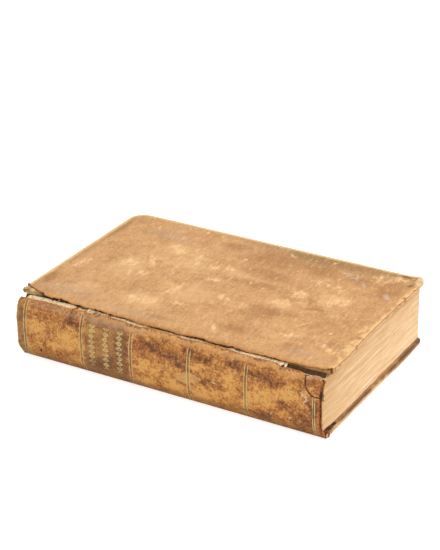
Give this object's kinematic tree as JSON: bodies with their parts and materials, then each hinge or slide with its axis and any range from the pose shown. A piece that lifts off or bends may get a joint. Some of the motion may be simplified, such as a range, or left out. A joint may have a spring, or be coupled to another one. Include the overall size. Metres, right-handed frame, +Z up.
{
  "type": "leather-bound dictionary",
  "caption": "Thick old dictionary in worn brown calf, lying closed on its back cover; rounded spine, both covers hinged at the joints, leather split along the front joint.",
  "frame": {"origin": "Under the middle of the closed book's outline, on the surface that the back cover lies on.", "axes": "+X along the spine from the head to the tail, -Y out of the spine, +Y towards the fore-edge, +Z up through the front cover."},
  "size_m": [0.2438, 0.1684, 0.0515],
  "materials": {
    "rag_paper": "matt, cream to tan, thumbed page edges",
    "lining_paper": "matt, glue-stained",
    "endpaper": "matt, toned",
    "cover_calf": "dull satin, scuffed tan, lighter where rubbed",
    "spine_calf": "satin, darker brown with tan rubs and worn gilt rules",
    "millboard": "matt, fibrous grey-brown",
    "hemp_cord": "matt"
  },
  "bodies": {
    "book_block": {"page_block": "rag_paper", "spine_lining": "lining_paper", "spine_leather": "spine_calf", "spine_leather_scrap": "spine_calf", "sewing_cord_1": "hemp_cord", "sewing_cord_2": "hemp_cord", "sewing_cord_3": "hemp_cord", "sewing_cord_4": "hemp_cord"},
    "front_cover": {"front_board": "millboard", "front_cover_leather": "cover_calf", "front_pastedown": "endpaper", "front_cord_slip_1": "hemp_cord", "front_cord_slip_2": "hemp_cord", "front_cord_slip_3": "hemp_cord", "front_cord_slip_4": "hemp_cord"},
    "back_cover": {"back_board": "millboard", "back_cover_leather": "cover_calf", "back_pastedown": "endpaper", "back_cord_slip_1": "hemp_cord", "back_cord_slip_2": "hemp_cord", "back_cord_slip_3": "hemp_cord", "back_cord_slip_4": "hemp_cord"}
  },
  "joints": [
    {"name": "front_cover_hinge", "type": "hinge", "parent": "book_block", "child": "front_cover", "pos_m": [0, -0.07308, 0.0515], "axis": [1, 0, 0], "range_deg": [0, 180]},
    {"name": "back_cover_hinge", "type": "hinge", "parent": "book_block", "child": "back_cover", "pos_m": [0, -0.07308, 0], "axis": [-1, 0, 0], "range_deg": [0, 180]}
  ]
}
